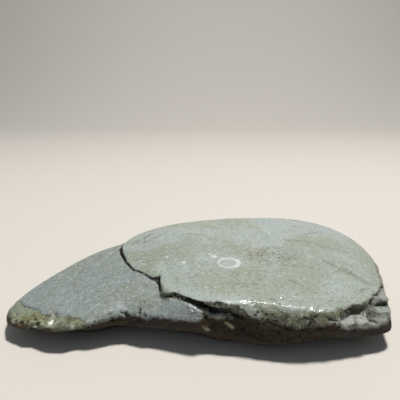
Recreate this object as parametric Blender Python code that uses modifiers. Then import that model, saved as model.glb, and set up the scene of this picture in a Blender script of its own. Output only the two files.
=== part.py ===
"""Flat river stone: a flaky, water-worn slab of green-grey slate that lies flat.

The rock is one piece in two layers. The thick main layer has a gently domed top. The thinner layer
under it sticks out on the left as a long tail that slopes down to its tip.
Frame: metres, +Z up, +X along the stone away from the tail's tip, -Y the broken front edge.
The origin is on the ground under the middle of the stone's box.
"""

import math

import bmesh
import bpy
import numpy as np
from mathutils import Matrix, Vector, noise

MM = 0.001

# The top of the main layer: a low dome. Heights and places below are in mm.
DOME_TOP = 40.6
DOME_MIDDLE = (25.0, 35.0)
DOME_FALL = (0.0006, 0.00043)

# The top of the tail: it falls off to the left and to the front, in a gentle arch.
TAIL_HEIGHT = 32.2
TAIL_MIDDLE = (-60.0, -20.0)
TAIL_SLOPE = (0.174, 0.137)
TAIL_ARCH = (-0.00049, 0.00052, -0.00198)

# Low rises and hollows on the top of each layer: middle, reach and height.
DOME_SWELLS = (
    ((-50.0, 36.0), 10.0, -0.9),
)
TAIL_SWELLS = (
    ((-42.0, -27.0), 17.0, 0.9),
    ((-108.0, -64.0), 24.0, 2.6),
    ((-44.0, -61.0), 8.0, -3.5),
)

# The wear that rounds the tail off to the front: how deep, between which y it deepens, and between
# which x it sets in and dies out.
FRONT_WEAR = 7.5
WEAR_DEEPENS = (-51.0, -69.0)
WEAR_STARTS = (-70.0, -20.0)
WEAR_ENDS = (-4.0, 12.0)

# Between these x the tail layer dives to its hidden end's height. At the back it stays this far under
# the main layer's top.
TAIL_DIVE = (22.0, 50.0)
TAIL_END_HEIGHT = 17.5
TAIL_COVER = 1.6

# The widest line round the main layer: place seen from above, height, and how far in the edge above
# it is rounded. The first stretch is the ledge that the layer breaks off in above the tail.
LEDGE_LINE = (
    (-64.5, 19.8, 34.7, 1.3),
    (-61.6, 8.7, 34.8, 1.3),
    (-55.2, -9.4, 34.9, 1.3),
    (-48.0, -22.6, 35.0, 1.3),
    (-38.3, -30.5, 35.3, 1.3),
    (-33.6, -35.0, 35.4, 1.3),
    (-27.9, -34.8, 35.6, 1.3),
    (-27.3, -41.0, 35.4, 1.3),
    (-25.6, -49.1, 35.2, 1.3),
    (-21.6, -54.4, 35.0, 1.5),
    (-15.8, -56.9, 34.8, 1.7),
    (-8.4, -63.0, 34.2, 2.0),
    (-1.0, -67.4, 33.0, 3.0),
)
MAIN_RIM = (
    (8.0, -70.2, 29.3, 5.0),
    (20.0, -71.2, 28.0, 7.0),
    (31.0, -72.6, 24.0, 8.0),
    (42.0, -75.0, 16.0, 8.0),
    (53.0, -77.2, 12.5, 7.0),
    (67.0, -78.4, 12.0, 7.0),
    (82.0, -77.4, 12.5, 7.0),
    (98.0, -74.4, 12.5, 6.0),
    (111.0, -70.6, 12.0, 5.0),
    (121.0, -64.6, 12.0, 5.0),
    (126.5, -55.5, 13.0, 5.0),
    (129.0, -42.0, 16.0, 6.0),
    (133.5, -27.0, 18.0, 7.0),
    (138.5, -9.0, 19.0, 7.0),
    (141.5, 12.0, 20.0, 7.0),
    (141.5, 34.0, 20.0, 7.0),
    (137.0, 55.0, 20.0, 7.0),
    (125.5, 74.5, 20.0, 7.0),
    (106.0, 88.5, 20.0, 7.0),
    (80.0, 93.0, 20.0, 7.0),
    (52.0, 90.0, 20.0, 7.0),
    (18.0, 84.5, 22.0, 7.0),
    (-16.0, 76.5, 25.0, 7.0),
    (-40.5, 63.0, 28.0, 6.0),
    (-57.5, 48.0, 31.0, 5.0),
    (-64.5, 32.5, 32.5, 3.0),
)
MAIN_CENTRE = (32.0, 2.0)

# The widest line round the tail layer. Its right end lies hidden in the main layer.
TAIL_RIM = (
    (-135.8, -37.0, 10.0, 5.0),
    (-133.0, -47.5, 10.0, 5.0),
    (-127.0, -56.5, 11.0, 4.0),
    (-115.0, -62.4, 12.0, 4.0),
    (-107.0, -63.6, 13.0, 3.5),
    (-99.0, -68.6, 13.5, 3.5),
    (-87.5, -69.8, 14.0, 3.5),
    (-78.0, -66.6, 15.0, 3.5),
    (-70.0, -66.4, 15.5, 3.5),
    (-60.5, -62.6, 16.5, 3.0),
    (-52.0, -59.8, 16.0, 3.0),
    (-45.0, -59.8, 15.0, 3.0),
    (-38.0, -61.8, 16.0, 3.0),
    (-27.0, -63.8, 16.0, 3.0),
    (-13.0, -66.8, 15.5, 3.5),
    (4.0, -69.8, 14.5, 4.0),
    (20.0, -71.0, 13.0, 4.0),
    (36.0, -73.4, 12.0, 3.0),
    (50.0, -75.2, 12.0, 3.0),
    (63.0, -68.0, 12.0, 4.0),
    (72.0, -40.0, 13.0, 5.0),
    (75.0, 10.0, 14.0, 5.0),
    (64.0, 66.0, 14.5, 5.0),
    (42.0, 82.0, 15.5, 5.0),
    (16.0, 80.5, 17.0, 6.0),
    (-16.0, 73.0, 19.0, 6.0),
    (-41.0, 60.0, 19.0, 6.0),
    (-57.5, 48.5, 19.5, 6.0),
    (-73.0, 37.5, 19.0, 6.0),
    (-88.0, 29.0, 18.0, 6.0),
    (-103.5, 12.5, 16.5, 6.0),
    (-118.5, -5.0, 14.0, 6.0),
    (-130.0, -21.0, 12.0, 6.0),
)
TAIL_CENTRE = (-62.0, -16.0)

# How far in from the widest line each layer is undercut, and how hollow that underside curves.
MAIN_UNDERCUT, LEDGE_UNDERCUT, TAIL_UNDERCUT = 27.0, 3.0, 25.0
UNDERCUT_CURVE = 1.25

# The belly of both layers reaches below the ground, which cuts it level. At the ledge the main layer
# is rooted this deep in the tail layer.
MAIN_BELLY, TAIL_BELLY = -1.8, -1.9
LEDGE_ROOT = 7.0

# Half of how wide the crack gapes under each point of the ledge, and on along the front. Its middle
# lies in behind the edge and above the tail's top by these shares of that.
LEDGE_GAPE = (0.5, 0.8, 0.9, 0.9, 1.0, 1.4, 1.2, 1.0, 1.2, 1.6, 1.9, 2.6, 2.6, 1.8, 1.3, 0.9)
CRACK_IN, CRACK_UP = 0.7, 0.6

# Thin splinters left lying in the crack: middle, half length, width and thickness, turn in degrees.
SPLINTERS = (
    ((-21.6, -53.0, 33.6), (3.6, 1.5, 1.0), -35.0),
    ((-12.0, -58.2, 31.0), (5.6, 1.3, 0.8), -30.0),
)

# What broke off the front right corner: outline from above, middle of the floor that is left and
# its lean to the right and to the front in degrees, and how high the broken out piece was.
CORNER_BREAKS = {
    "slab break": (
        ((80.0, -79.5), (84.3, -75.2), (87.0, -72.0), (90.5, -69.6), (96.5, -66.4), (102.2, -67.2),
         (106.5, -63.0), (111.7, -56.0), (118.2, -50.3), (122.2, -45.0), (127.0, -37.0), (133.0, -31.0),
         (150.0, -31.0), (150.0, -95.0), (80.0, -95.0)),
        (115.0, -51.0, 30.5), (14.0, 0.0), 20.0,
    ),
    "wedge break": (
        ((101.0, -68.0), (108.0, -58.4), (115.5, -55.2), (124.0, -52.2), (150.0, -50.0), (150.0, -95.0),
         (101.0, -95.0)),
        (116.0, -57.0, 24.0), (3.0, -4.0), 20.0,
    ),
    "foot break": (
        ((105.0, -64.5), (112.5, -61.8), (120.0, -60.2), (150.0, -56.0), (150.0, -95.0), (105.0, -95.0)),
        (115.0, -63.0, 20.5), (4.0, 16.0), 20.0,
    ),
    "lobe break": (
        ((81.0, -79.0), (85.5, -74.4), (91.0, -69.2), (96.5, -66.0), (104.0, -66.4), (108.0, -64.6),
         (109.0, -70.0), (106.0, -95.0), (81.0, -95.0)),
        (97.0, -68.0, 23.2), (0.0, 15.0), 20.0,
    ),
    "wedge gap": (
        ((112.0, -56.0), (115.0, -51.5), (125.0, -48.5), (150.0, -47.0), (150.0, -60.0), (114.0, -60.0)),
        (116.0, -55.0, 24.0), (3.0, 0.0), 2.4,
    ),
    "recess": (
        ((84.0, -73.0), (92.0, -65.5), (98.0, -61.6), (107.0, -60.8), (109.0, -66.0), (100.0, -72.0)),
        (97.0, -66.0, 22.8), (0.0, 6.0), 6.5,
    ),
}

# The ground: a block under the stone, half its side and its height.
GROUND_REACH, GROUND_DEPTH = 200.0, 30.0

# The relief of the worn skin and of the rough split faces: how high, and how long its swells are.
# The underside swells this much more where it faces down.
SWELL, SWELL_LENGTH = 0.5, 42.0
UNDER_SWELL, UNDER_FACING = 1.6, (0.1, 0.6)
GRAIN, GRAIN_LENGTH, GRAIN_TILT = 1.5, (26.0, 13.0, 5.0), 0.12
GRAIN_STEEPNESS = (0.25, 0.75)

# Worn grooves in the top: the line, half the width and the depth.
GROOVES = (
    (((98.0, -13.6), (104.7, -20.2), (110.0, -29.6), (113.4, -35.5), (118.4, -38.8)), 2.6, 0.9),
    (((-127.1, -33.8), (-124.1, -38.9), (-115.1, -45.6), (-108.3, -49.6), (-105.0, -54.1),
      (-99.8, -56.4), (-93.2, -58.0), (-87.0, -58.8)), 2.0, 0.6),
)

# How finely the layers are modelled and skinned, and how many triangles are left.
SAMPLES, RINGS, RING_SPREAD = 8, 64, 1.8
VOXEL = 1.0
TRIANGLES = 8600

# Points this close to the ground belong to the flat face that the stone rests on.
LEVEL = 0.12

STONE_COLOUR = (0.27, 0.30, 0.25, 1.0)


def clear_scene():
    for old in list(bpy.data.objects):
        bpy.data.objects.remove(old, do_unlink=True)


def new_collection(name):
    made = bpy.data.collections.new(name)
    bpy.context.scene.collection.children.link(made)
    return made


def river_stone_material():
    made = bpy.data.materials.new("river stone")
    made.use_nodes = True
    shader = made.node_tree.nodes["Principled BSDF"]
    shader.inputs["Base Color"].default_value = STONE_COLOUR
    shader.inputs["Roughness"].default_value = 0.5
    shader.inputs["Metallic"].default_value = 0.0
    return made


def smoothstep(low, high, value):
    share = min(max((value - low) / (high - low), 0.0), 1.0)
    return share * share * (3.0 - 2.0 * share)


def swells(x, y, rises):
    return sum(
        height * math.exp(-((x - middle[0]) ** 2 + (y - middle[1]) ** 2) / reach ** 2)
        for middle, reach, height in rises
    )


def dome(x, y):
    """Height of the main layer's top."""
    across, deep = x - DOME_MIDDLE[0], y - DOME_MIDDLE[1]
    height = DOME_TOP - DOME_FALL[0] * across * across - DOME_FALL[1] * deep * deep
    return height + swells(x, y, DOME_SWELLS)


def front_wear(x, y):
    """How much is worn off the tail's top towards its front."""
    share = smoothstep(*WEAR_STARTS, x) * (1.0 - smoothstep(*WEAR_ENDS, x))
    return FRONT_WEAR * share * smoothstep(*WEAR_DEEPENS, y)


def tail_top(x, y):
    """Height of the tail layer's top. To the right it dives under the main layer."""
    u, v = x - TAIL_MIDDLE[0], y - TAIL_MIDDLE[1]
    height = TAIL_HEIGHT + TAIL_SLOPE[0] * u + TAIL_SLOPE[1] * v
    height += TAIL_ARCH[0] * u * u + TAIL_ARCH[1] * u * v + TAIL_ARCH[2] * v * v
    height += swells(x, y, TAIL_SWELLS) - front_wear(x, y)
    height = min(height, dome(x, y) - TAIL_COVER)
    dive = smoothstep(*TAIL_DIVE, x)
    return height * (1.0 - dive) + TAIL_END_HEIGHT * dive


def main_floor(x, y):
    """Underside of the main layer: rooted in the tail layer on the left, the stone's belly elsewhere."""
    belly = smoothstep(*TAIL_DIVE, x)
    return (tail_top(x, y) - LEDGE_ROOT) * (1.0 - belly) + MAIN_BELLY * belly


def tail_floor(x, y):
    """Underside of the tail layer, level all over."""
    return TAIL_BELLY


def through(points, steps):
    """A smooth closed line through the points: each row holds all of a point's values."""
    rows = np.array(points)
    before, after, beyond = (np.roll(rows, shift, axis=0) for shift in (1, -1, -2))
    line = []
    for t in np.arange(steps) / steps:
        line.append(0.5 * (
            2.0 * rows
            + (after - before) * t
            + (2.0 * before - 5.0 * rows + 4.0 * after - beyond) * t ** 2
            + (3.0 * rows - before - 3.0 * after + beyond) * t ** 3
        ))
    return np.stack(line, axis=1).reshape(-1, rows.shape[1])


def way_to_line(places, line):
    """The shortest way from each place to the line, seen from above."""
    start, end = line[:-1], line[1:]
    along = end - start
    offset = places[:, None, :] - start[None, :, :]
    share = np.clip((offset * along).sum(axis=2) / (along * along).sum(axis=1), 0.0, 1.0)
    return np.linalg.norm(offset - share[:, :, None] * along, axis=2).min(axis=1)


def layer(name, rim, centre, top, floor, home):
    """One layer as a UV sphere: its longitudes follow the rim, its latitudes run over the edge.

    A row of the rim is x, y, height, edge rounding and undercut.
    """
    line = through(rim, SAMPLES)
    mesh = bmesh.new()
    bmesh.ops.create_uvsphere(mesh, u_segments=len(line), v_segments=RINGS, radius=1.0)
    globe = np.array([point.co for point in mesh.verts])
    turns = np.arctan2(globe[:, 1], globe[:, 0]) / (2.0 * math.pi)
    sinks = np.arccos(np.clip(globe[:, 2], -1.0, 1.0)) / math.pi
    rows = line[np.round(turns * len(line)).astype(int) % len(line)]
    way_in = np.abs(2.0 * sinks - 1.0) ** RING_SPREAD
    places = rows[:, :2] + (np.array(centre) - rows[:, :2]) * way_in[:, None]
    closed_line = np.vstack([line, line[:1]])[:, :2]
    insides = way_to_line(places, closed_line)
    above = globe[:, 2] > -0.5 / RINGS
    for point, (x, y), row, inside, upper in zip(mesh.verts, places, rows, insides, above):
        height, edge, undercut = row[2:]
        if upper:
            rounding = 1.0 - min(inside / edge, 1.0)
            z = height + (top(x, y) - height) * math.sqrt(1.0 - rounding ** 2)
        else:
            rise = max(1.0 - inside / undercut, 0.0) ** UNDERCUT_CURVE
            z = floor(x, y) * (1.0 - rise) + height * rise
        point.co = Vector((x, y, z)) * MM
    bmesh.ops.recalc_face_normals(mesh, faces=mesh.faces)
    data = bpy.data.meshes.new(name)
    mesh.to_mesh(data)
    mesh.free()
    made = bpy.data.objects.new(name, data)
    home.objects.link(made)
    return made


def solid_of(guide, home):
    """The closed mesh of a curve, as a tool that isn't drawn."""
    bpy.context.view_layer.update()
    graph = bpy.context.evaluated_depsgraph_get()
    data = bpy.data.meshes.new_from_object(guide.evaluated_get(graph))
    data.transform(guide.matrix_world)
    closed = bmesh.new()
    closed.from_mesh(data)
    bmesh.ops.remove_doubles(closed, verts=closed.verts, dist=1e-6)
    bmesh.ops.recalc_face_normals(closed, faces=closed.faces)
    closed.to_mesh(data)
    closed.free()
    made = bpy.data.objects.new(guide.name, data)
    made.hide_render = True
    made.display_type = "WIRE"
    home.objects.link(made)
    bpy.data.objects.remove(guide)
    return made


def prism(name, outline, floor, lean, tall, home):
    """A straight-sided block over a flat outline, whose floor leans about its given middle."""
    curve = bpy.data.curves.new(name, "CURVE")
    curve.dimensions = "2D"
    curve.fill_mode = "BOTH"
    curve.extrude = tall / 2.0 * MM
    line = curve.splines.new("POLY")
    line.points.add(len(outline) - 1)
    for point, (x, y) in zip(line.points, outline):
        point.co = ((x - floor[0]) * MM, (y - floor[1]) * MM, 0.0, 1.0)
    line.use_cyclic_u = True
    guide = bpy.data.objects.new(name, curve)
    home.objects.link(guide)
    guide.rotation_euler = (math.radians(lean[1]), math.radians(lean[0]), 0.0)
    middle = Vector((0.0, 0.0, tall / 2.0))
    middle.rotate(guide.rotation_euler)
    guide.location = (Vector(floor) + middle) * MM
    return solid_of(guide, home)


def ledge_crack(home):
    """A tube along the foot of the ledge, as thick as the crack gapes."""
    curve = bpy.data.curves.new("ledge crack", "CURVE")
    curve.dimensions = "3D"
    curve.bevel_depth = MM
    curve.bevel_resolution = 2
    curve.use_fill_caps = True
    line = curve.splines.new("POLY")
    line.points.add(len(LEDGE_GAPE) - 1)
    for point, gape, row in zip(line.points, LEDGE_GAPE, LEDGE_LINE + MAIN_RIM):
        edge = Vector(row[:2])
        inward = (Vector(MAIN_CENTRE) - edge).normalized()
        place = edge + inward * CRACK_IN * gape
        height = tail_top(*place) + CRACK_UP * gape
        point.co = (place.x * MM, place.y * MM, height * MM, 1.0)
        point.radius = gape
    guide = bpy.data.objects.new("ledge crack", curve)
    home.objects.link(guide)
    return solid_of(guide, home)


def splinter(name, middle, half, turn, home):
    """A flat sliver of slate that stays in the crack."""
    block = bmesh.new()
    bmesh.ops.create_cube(block, size=2.0)
    lie = Matrix.Rotation(math.radians(turn), 4, "Z") @ Matrix.Diagonal((*half, 1.0))
    block.transform(Matrix.Scale(MM, 4) @ Matrix.Translation(middle) @ lie)
    data = bpy.data.meshes.new(name)
    block.to_mesh(data)
    block.free()
    made = bpy.data.objects.new(name, data)
    home.objects.link(made)
    return made


def join(body, tool, operation):
    change = body.modifiers.new(tool.name, "BOOLEAN")
    change.operation = operation
    change.solver = "EXACT"
    change.object = tool
    settle(body)


def settle(body):
    """Makes the object's mesh what its modifiers show."""
    graph = bpy.context.evaluated_depsgraph_get()
    shown = bpy.data.meshes.new_from_object(body.evaluated_get(graph))
    body.modifiers.clear()
    body.data = shown


def even_skin(body):
    """One even skin over the joined layers, its sharp corners worn a little."""
    skin = body.modifiers.new("even skin", "REMESH")
    skin.mode = "VOXEL"
    skin.voxel_size = VOXEL * MM
    skin.adaptivity = 0.0
    worn = body.modifiers.new("worn", "SMOOTH")
    worn.factor = 0.5
    worn.iterations = 1
    settle(body)


def relief(place, normal):
    """How far the surface stands out at a place, in mm: long swells, and split grain on steep faces."""
    swell = noise.noise(place / SWELL_LENGTH) * (SWELL + UNDER_SWELL * smoothstep(*UNDER_FACING, -normal.z))
    steep = smoothstep(*GRAIN_STEEPNESS, 1.0 - abs(normal.z))
    long, wide, high = GRAIN_LENGTH
    lay = Vector((place.x / long, place.y / wide, (place.z + GRAIN_TILT * place.x) / high))
    return swell + noise.fractal(lay, 1.0, 2.0, 3) * GRAIN * steep


def groove_depths(places):
    """How deep each place lies in a groove."""
    depths = np.zeros(len(places))
    for line, half_width, depth in GROOVES:
        away = np.clip(way_to_line(places, np.array(line)) / half_width, 0.0, 1.0)
        depths += depth * (1.0 - away * away * (3.0 - 2.0 * away))
    return depths


def weather(body):
    """Gives the skin its relief."""
    skin = bmesh.new()
    skin.from_mesh(body.data)
    skin.normal_update()
    places = np.array([point.co.xy / MM for point in skin.verts])
    moved = []
    for point, depth in zip(skin.verts, groove_depths(places)):
        out = relief(point.co / MM, point.normal) - depth * max(point.normal.z, 0.0)
        moved.append(point.co + point.normal * out * MM)
    for point, place in zip(skin.verts, moved):
        point.co = place
    skin.to_mesh(body.data)
    skin.free()


def thin_out(body):
    """Fewer triangles where the stone is flat."""
    count = sum(len(face.vertices) - 2 for face in body.data.polygons)
    fewer = body.modifiers.new("fewer triangles", "DECIMATE")
    fewer.ratio = TRIANGLES / count
    settle(body)


def stand_flat(body):
    """The cut belly becomes exactly level, and the origin goes under the middle of the box."""
    points = body.data.vertices
    low = [min(point.co[axis] for point in points) for axis in range(2)]
    high = [max(point.co[axis] for point in points) for axis in range(2)]
    for point in points:
        if point.co.z < LEVEL * MM:
            point.co.z = 0.0
    middle = [(a + b) / 2.0 for a, b in zip(low, high)]
    body.data.transform(Matrix.Translation((-middle[0], -middle[1], 0.0)))


def main():
    clear_scene()
    parts = new_collection("flat river stone")
    cutters = new_collection("cutters")
    cutters.hide_render = True

    main_rim = [(*point, LEDGE_UNDERCUT) for point in LEDGE_LINE]
    main_rim += [(*point, MAIN_UNDERCUT) for point in MAIN_RIM]
    tail_rim = [(*point, TAIL_UNDERCUT) for point in TAIL_RIM]
    stone = layer("stone", main_rim, MAIN_CENTRE, dome, main_floor, parts)
    tail = layer("tail layer", tail_rim, TAIL_CENTRE, tail_top, tail_floor, cutters)
    join(stone, tail, "UNION")
    join(stone, ledge_crack(cutters), "DIFFERENCE")
    for name, (outline, floor, lean, tall) in CORNER_BREAKS.items():
        join(stone, prism(name, outline, floor, lean, tall, cutters), "DIFFERENCE")
    for number, (middle, half, turn) in enumerate(SPLINTERS, 1):
        join(stone, splinter(f"splinter {number}", middle, half, turn, cutters), "UNION")
    even_skin(stone)
    weather(stone)
    reach, below = GROUND_REACH, (0.0, 0.0, -GROUND_DEPTH)
    square = ((-reach, -reach), (reach, -reach), (reach, reach), (-reach, reach))
    join(stone, prism("ground", square, below, (0.0, 0.0), GROUND_DEPTH, cutters), "DIFFERENCE")
    thin_out(stone)
    stand_flat(stone)
    for tool in list(cutters.objects):
        bpy.data.objects.remove(tool)
    stone.data.materials.clear()
    stone.data.materials.append(river_stone_material())


main()
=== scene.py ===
# %% [markdown]
# # A flat river stone
# The stone is a slab of green-grey slate. Slate was mud once, pressed into thin beds, so it splits into
# sheets: a thick one lies on top here, and a thinner one sticks out under it as a tail. A river has worn
# the flat faces smooth, while the broken edges stay rough.
#
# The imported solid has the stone's form in flat facets. The lesson gives it its worn skin, its split
# edges and its cracks, and then its colours. Everything stays in the solid's own frame: metres, +Z up.

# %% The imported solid
import math

import bmesh
import bpy
import numpy as np
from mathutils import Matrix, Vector
from mathutils.bvhtree import BVHTree


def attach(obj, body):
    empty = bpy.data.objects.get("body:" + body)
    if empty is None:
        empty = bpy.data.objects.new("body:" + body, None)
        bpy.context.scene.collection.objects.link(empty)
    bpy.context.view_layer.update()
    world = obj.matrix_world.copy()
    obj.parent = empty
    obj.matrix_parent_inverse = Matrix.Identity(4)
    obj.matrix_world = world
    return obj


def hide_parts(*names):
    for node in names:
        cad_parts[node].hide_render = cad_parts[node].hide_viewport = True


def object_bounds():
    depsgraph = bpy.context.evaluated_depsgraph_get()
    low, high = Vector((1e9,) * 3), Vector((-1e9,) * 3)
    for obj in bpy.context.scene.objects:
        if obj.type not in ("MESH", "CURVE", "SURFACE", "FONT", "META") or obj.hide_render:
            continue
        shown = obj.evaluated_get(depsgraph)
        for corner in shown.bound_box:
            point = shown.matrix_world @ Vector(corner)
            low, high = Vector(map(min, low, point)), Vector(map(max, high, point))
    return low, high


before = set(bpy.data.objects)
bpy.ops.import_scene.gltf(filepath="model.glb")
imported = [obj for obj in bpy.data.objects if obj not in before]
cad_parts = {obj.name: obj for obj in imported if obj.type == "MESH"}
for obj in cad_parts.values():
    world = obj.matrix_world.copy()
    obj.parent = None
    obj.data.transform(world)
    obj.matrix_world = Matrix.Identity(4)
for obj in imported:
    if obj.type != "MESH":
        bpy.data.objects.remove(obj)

MM = 0.001
cad_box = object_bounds()
print("solid, mm:", [[round(side / MM, 1) for side in corner] for corner in cad_box])

# %% [markdown]
# ## A few small tools
# A step that starts and ends softly is the usual way to blend two zones, and two of them make a window.
# A node with its settings and its links is added over and over, for shapes and for colours alike, so one
# function does that. A mesh that modifiers have changed is kept as it then looks, because the modifiers
# aren't needed after that.

# %% Tools


def soft_step(low, high, value):
    """0 up to low, 1 from high on, and a smooth rise between them. low may be the larger one."""
    share = np.clip((value - low) / (high - low), 0.0, 1.0)
    return share * share * (3.0 - 2.0 * share)


def window(value, start, full, fading, end):
    """0 up to start, 1 from full to fading, and 0 again from end on."""
    return soft_step(start, full, value) * soft_step(end, fading, value)


def add(tree, kind, inputs=(), **settings):
    """A new node with its settings. inputs are values or links, in order or by name; a node stands
    for its first output."""
    node = tree.nodes.new(kind)
    for name, value in settings.items():
        setattr(node, name, value)
    for socket, value in inputs.items() if isinstance(inputs, dict) else enumerate(inputs):
        value = value.outputs[0] if isinstance(value, bpy.types.Node) else value
        if isinstance(value, bpy.types.NodeSocket):
            tree.links.new(value, node.inputs[socket])
        else:
            node.inputs[socket].default_value = value
    return node


# The kinds of node that are added most.
MATH, VECTOR, RANGE = "ShaderNodeMath", "ShaderNodeVectorMath", "ShaderNodeMapRange"
NOISE, MIX = "ShaderNodeTexNoise", "ShaderNodeMix"


def new_object(name, data):
    """A new object with this mesh, curve, lamp or camera, in the scene."""
    made = bpy.data.objects.new(name, data)
    bpy.context.scene.collection.objects.link(made)
    return made


def keep_shown_mesh(piece):
    """Makes the object's own mesh what its modifiers show."""
    graph = bpy.context.evaluated_depsgraph_get()
    shown = bpy.data.meshes.new_from_object(piece.evaluated_get(graph))
    piece.modifiers.clear()
    piece.data = shown
    return len(shown.polygons)


# %% [markdown]
# ## The worn skin
# A river stone has no sharp facet. A copy of the solid is wrapped in an even skin of small squares, as
# fine as the smallest chip that has to show. A little smoothing then wears the corners, and a lot of it
# evens out the broad top, where the light would show every flat facet. Subdividing the facets was the
# other way, but it would leave long thin faces that no relief can follow.

# %% The worn skin
SKIN, WELD = 0.95 * MM, 0.001 * MM
CORNER_PASSES, TOP_PASSES = 2, 120
# How far up a point has to face to be on the broad top.
BROAD_TOP = (0.93, 0.985)

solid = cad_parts["stone"]
copy = bmesh.new()
copy.from_mesh(solid.data)
bmesh.ops.remove_doubles(copy, verts=copy.verts, dist=WELD)
merged = bpy.data.meshes.new("river_stone")
copy.to_mesh(merged)
copy.free()
stone = new_object("river_stone", merged)

skin = stone.modifiers.new("even skin", "REMESH")
skin.mode = "VOXEL"
skin.voxel_size = SKIN
worn = stone.modifiers.new("worn corners", "SMOOTH")
worn.iterations = CORNER_PASSES
print("skin faces:", keep_shown_mesh(stone))


def skin_of(piece):
    """Each point's place in mm and the direction that it faces, as rows of three."""
    places, directions = np.empty((2, len(piece.data.vertices) * 3), np.float32)
    piece.data.vertices.foreach_get("co", places)
    piece.data.vertex_normals.foreach_get("vector", directions)
    return places.reshape(-1, 3) / MM, directions.reshape(-1, 3).astype(float)


def move_points(mesh, places):
    mesh.vertices.foreach_set("co", (places * MM).ravel().astype(np.float32))
    mesh.update()


def wear(piece, weights, passes):
    """Smooths the piece, each point as much as its weight says, in steps of a hundredth."""
    group = piece.vertex_groups.new(name="worn")
    steps = np.round(weights * 100.0).astype(int)
    for step in np.unique(steps[steps > 0]):
        group.add(np.flatnonzero(steps == step).tolist(), step / 100.0, "REPLACE")
    smooth = piece.modifiers.new("worn", "SMOOTH")
    smooth.vertex_group = group.name
    smooth.iterations = passes
    keep_shown_mesh(piece)
    piece.vertex_groups.clear()
    print("worn", passes, "times:", np.count_nonzero(steps), "points")


wear(stone, soft_step(*BROAD_TOP, skin_of(stone)[1][:, 2]), TOP_PASSES)

# %% [markdown]
# ## Where things are on the stone
# Much of what follows is laid out on a plan of the stone: the outline of its thick layer, the line where
# the tip's upper sheet ends, and the outline of the broken corner. A place is told by how far it lies
# outside such a line. That distance makes a crisp border at any zoom, where a painted mask would blur.
# What changes along the stone is a table, read off at each point's x.

# %% Plan of the stone, in mm seen from above
MAIN_OUTLINE = (
    (-68.1, 12.5), (-65.2, 1.4), (-58.8, -16.7), (-51.6, -29.9), (-41.9, -37.2), (-37.2, -40.8),
    (-31.5, -40.5), (-30.9, -48.3), (-29.2, -56.4), (-25.2, -61.7), (-19.4, -64.2), (-12, -70.3),
    (-4.6, -74.7), (4.4, -77.5), (16.4, -78.5), (27.4, -79.9), (38.4, -82.3), (49.4, -84.5),
    (63.4, -85.7), (78.4, -84.7), (94.4, -81.7), (107.4, -77.9), (117.4, -71.9), (122.9, -62.8),
    (125.4, -49.3), (129.9, -34.3), (134.9, -16.3), (137.9, 4.7), (137.9, 26.7), (133.4, 47.7),
    (121.9, 67.2), (102.4, 81.2), (76.4, 85.7), (48.4, 82.7), (14.4, 77.2), (-19.6, 69.2),
    (-44.1, 55.7), (-61.1, 40.7), (-68.1, 25.2),
)
# How far the painted shade of the gap under each point of the ledge shows beside the edge: x, y and that
# width.
LEDGE = (
    (-66.5, 33, 0.3), (-68.1, 25, 1.4), (-68.1, 12.5, 2.7), (-65.2, 1.4, 2.5), (-58.8, -16.7, 1.4),
    (-51.6, -29.9, 1), (-41.9, -37.2, 1.2), (-37.2, -40.8, 2), (-34, -40.7, 4.6), (-31.5, -40.5, 5.8),
    (-30.9, -48.3, 1.6), (-29.8, -54, 1.6), (-29.2, -56.4, 1.2), (-27.5, -58.5, -1), (-25.2, -61.7, -1),
    (-19.4, -64.2, -1), (-12, -70.3, -1),
)
# The crack goes on along the front: x, the heights between which it gapes and is painted black as its
# shade, and the brow over it.
FRONT_GAP = (
    (-31, 31, 31, 31.5), (-28, 31.2, 33.3, 34.2), (-23.2, 31.4, 34.3, 35), (-19.9, 31.5, 34.5, 35.1),
    (-16.5, 31.7, 34.7, 35.2), (-13.2, 31.9, 34.9, 35.3), (-10, 31.7, 35, 35.4),
    (-6.7, 30.9, 34.6, 35.2), (-3.6, 29.7, 34.1, 35), (-1, 28.5, 33, 35.2), (2, 27, 31, 35.3),
    (4, 26.4, 29.8, 35.3), (7.3, 26.6, 28.7, 35.3), (11, 26.8, 28, 35.2), (16, 26.4, 27.4, 35),
    (20, 25.4, 26.1, 34.2), (24, 25, 25.4, 31.5), (28, 24.8, 24.8, 27.5),
)
# The tip's sheet and the broken corner end at these edges, and the rest closes each beyond the stone.
TIP_EDGE = (
    (-130.7, -41.1), (-127.7, -46.2), (-118.7, -52.9), (-111.9, -56.9), (-108.6, -61.4),
    (-103.4, -63.7), (-96.8, -65.3), (-90.6, -66.1), (-81.3, -69.2), (-75.5, -72.7),
)
TIP_REST = ((-75, -100), (-160, -100), (-160, -30))
CORNER_EDGE = (
    (76.4, -86.8), (80.7, -80.5), (83.4, -76.9), (86.9, -74.3), (92.9, -71.6), (98.6, -72.8),
    (102.9, -69.6), (108.1, -63.3), (114.6, -57.6), (118.6, -52.3), (123.4, -44.3), (129.4, -38.3),
)
CORNER_REST = ((146.4, -38.3), (146.4, -102.3), (76.4, -102.3))
# A point is at the front where its y is less than this, and faces it where its normal's y is.
FRONT_SIDE, FACES_FRONT = -50.0, -0.2



def away_from(places, line, closed=False):
    """How far each place is from the line, seen from above, and the line's third value there."""
    rows = np.array(line + line[:1] if closed else line, float)
    rows = rows if rows.shape[1] == 3 else np.column_stack([rows, np.zeros(len(rows))])
    nearest, value = np.full(len(places), 1e9), np.zeros(len(places))
    for start, end in zip(rows[:-1], rows[1:]):
        along = (end - start)[:2]
        share = np.clip(((places - start[:2]) @ along) / (along @ along), 0.0, 1.0)
        way = np.linalg.norm(places - start[:2] - share[:, None] * along, axis=1)
        value = np.where(way < nearest, start[2] + share * (end - start)[2], value)
        nearest = np.minimum(nearest, way)
    return nearest, value


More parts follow.
